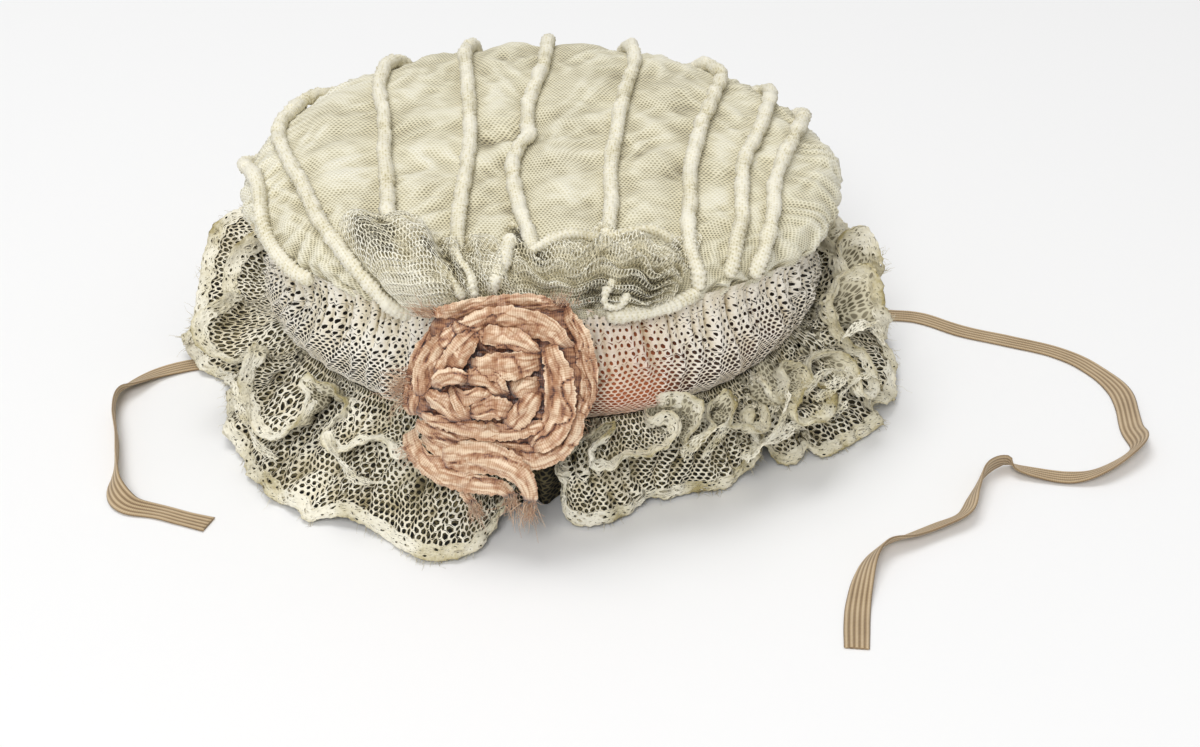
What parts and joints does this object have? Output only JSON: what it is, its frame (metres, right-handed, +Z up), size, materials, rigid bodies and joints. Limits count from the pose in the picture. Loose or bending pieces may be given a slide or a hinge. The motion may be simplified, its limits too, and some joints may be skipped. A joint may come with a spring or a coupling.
{
  "type": "childrens lace hat",
  "caption": "Small child's hat of lace net with a corded crown, two tiers of frill, a silk ribbon rosette and two tape ties.",
  "frame": {"origin": "on the surface that the hat rests on, under the middle of the hat without its ties", "axes": "+Z up through the crown, -Y towards the front with the rosette, +X to the right of a viewer who faces the front"},
  "size_m": [0.2894, 0.2271, 0.0797],
  "materials": {
    "crown_net": "cream net over thin cotton, matte",
    "rib_net": "net wound over cotton cord, matte",
    "band_net": "cream net over pink silk, matte",
    "silk": "faded pink silk, soft sheen",
    "frill_net": "greyish cream net with folded hems, matte",
    "ribbon": "crinkled salmon silk ribbon, soft sheen",
    "elastic": "woven tan tape with lengthwise ribs, matte"
  },
  "bodies": {
    "root": {"crown": "crown_net", "rib_1": "rib_net", "rib_2": "rib_net", "rib_3": "rib_net", "rib_4": "rib_net", "rib_5": "rib_net", "rib_6": "rib_net", "rib_7": "rib_net", "rib_8": "rib_net", "rib_9": "rib_net", "front_cord_1": "rib_net", "front_cord_2": "rib_net", "front_puff_left": "crown_net", "front_puff_right": "crown_net", "net_band": "band_net", "silk_band": "silk", "ruffle_lower": "frill_net", "ruffle_upper": "frill_net", "rosette": "ribbon", "ribbon_tail": "ribbon", "tie_left": "elastic", "tie_right": "elastic"}
  },
  "joints": []
}
